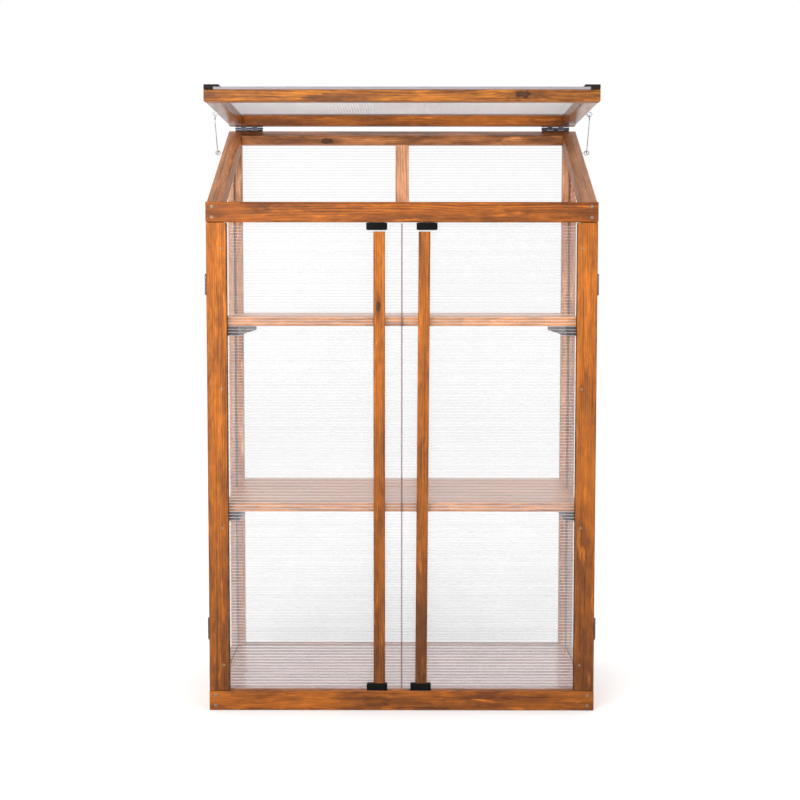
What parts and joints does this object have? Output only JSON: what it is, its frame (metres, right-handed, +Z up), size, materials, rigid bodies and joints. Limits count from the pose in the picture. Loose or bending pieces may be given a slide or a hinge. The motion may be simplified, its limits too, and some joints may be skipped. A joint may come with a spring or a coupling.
{
  "type": "mini greenhouse cabinet",
  "caption": "Wooden mini greenhouse cabinet with clear twin-wall panels, side-hung doors, shelves and a sloping hinged lid held open on hook stays.",
  "frame": {"origin": "on the ground, at the middle of the footprint of the whole part with its lid propped open", "axes": "+X to the right seen from the doors, +Y from the doors to the back, +Z up"},
  "size_m": [0.8, 0.4614, 1.2197],
  "materials": {
    "frame_wood": "stained fir, satin",
    "door_wood": "stained fir, satin",
    "lid_wood": "stained fir, satin",
    "shelf_wood": "stained fir board, satin",
    "polycarbonate": "clear twin-wall sheet with fine flutes",
    "hinge_steel": "dark zinc plate",
    "zinc_wire": "bright zinc plate",
    "black_plastic": "moulded, satin",
    "brown_plastic": "moulded, satin"
  },
  "bodies": {
    "cabinet": {"front_bottom_rail": "frame_wood", "front_top_rail": "frame_wood", "back_top_rail": "frame_wood", "back_middle_rail": "frame_wood", "back_bottom_rail": "frame_wood", "back_center_strut": "frame_wood", "front_post_left": "frame_wood", "front_post_right": "frame_wood", "back_post_left": "frame_wood", "back_post_right": "frame_wood", "side_bottom_rail_left": "frame_wood", "side_bottom_rail_right": "frame_wood", "side_sloped_rail_left": "frame_wood", "side_sloped_rail_right": "frame_wood", "back_panel_lower": "polycarbonate", "back_panel_upper": "polycarbonate", "side_panel_left": "polycarbonate", "side_panel_right": "polycarbonate", "upper_shelf": "shelf_wood", "middle_shelf": "shelf_wood", "floor_board": "shelf_wood", "upper_shelf_cleat_left": "shelf_wood", "upper_shelf_cleat_right": "shelf_wood", "middle_shelf_cleat_left": "shelf_wood", "middle_shelf_cleat_right": "shelf_wood", "door_hinge_fixed_upper_left": "hinge_steel", "door_hinge_fixed_upper_right": "hinge_steel", "door_hinge_fixed_lower_left": "hinge_steel", "door_hinge_fixed_lower_right": "hinge_steel", "lid_hinge_fixed_left": "hinge_steel", "lid_hinge_fixed_right": "hinge_steel", "rail_eye_left": "zinc_wire", "rail_eye_right": "zinc_wire"},
    "door_left": {"door_stile_left": "door_wood", "door_sheet_left": "polycarbonate", "door_batten_left": "door_wood", "door_catch_top_left": "black_plastic", "door_catch_bottom_left": "black_plastic", "door_hinge_moving_upper_left": "hinge_steel", "door_hinge_moving_lower_left": "hinge_steel"},
    "door_right": {"door_stile_right": "door_wood", "door_sheet_right": "polycarbonate", "door_batten_right": "door_wood", "door_catch_top_right": "black_plastic", "door_catch_bottom_right": "black_plastic", "door_hinge_moving_upper_right": "hinge_steel", "door_hinge_moving_lower_right": "hinge_steel"},
    "lid": {"lid_front_rail": "lid_wood", "lid_back_rail": "lid_wood", "lid_side_rail_left": "lid_wood", "lid_side_rail_right": "lid_wood", "lid_sheet": "polycarbonate", "lid_corner_cap_left": "brown_plastic", "lid_corner_cap_right": "brown_plastic", "lid_hinge_moving_left": "hinge_steel", "lid_hinge_moving_right": "hinge_steel", "lid_eye_left": "zinc_wire", "lid_eye_right": "zinc_wire"},
    "stay_left": {"hook_stay_left": "zinc_wire"},
    "stay_right": {"hook_stay_right": "zinc_wire"}
  },
  "joints": [
    {"name": "lid_hinge", "type": "hinge", "parent": "cabinet", "child": "lid", "pos_m": [0, 0.22807, 1.181], "axis": [1, 0, 0], "range_deg": [0, 24]},
    {"name": "door_left_hinge", "type": "hinge", "parent": "cabinet", "child": "door_left", "pos_m": [-0.3825, -0.17472, 0.5], "axis": [0, 0, -1], "range_deg": [0, 165]},
    {"name": "door_right_hinge", "type": "hinge", "parent": "cabinet", "child": "door_right", "pos_m": [0.3825, -0.17472, 0.5], "axis": [0, 0, 1], "range_deg": [0, 165]},
    {"name": "stay_left_swing", "type": "hinge", "parent": "lid", "child": "stay_left", "pos_m": [-0.394, 0.08515, 1.1922], "axis": [1, 0, 0], "range_deg": [-125, 0]},
    {"name": "stay_right_swing", "type": "hinge", "parent": "lid", "child": "stay_right", "pos_m": [0.394, 0.08515, 1.1922], "axis": [1, 0, 0], "range_deg": [-125, 0]}
  ],
  "couplings": [
    {"joint": "stay_left_swing", "follows": "lid_hinge", "ratio": -5.2},
    {"joint": "stay_right_swing", "follows": "lid_hinge", "ratio": -5.2}
  ]
}
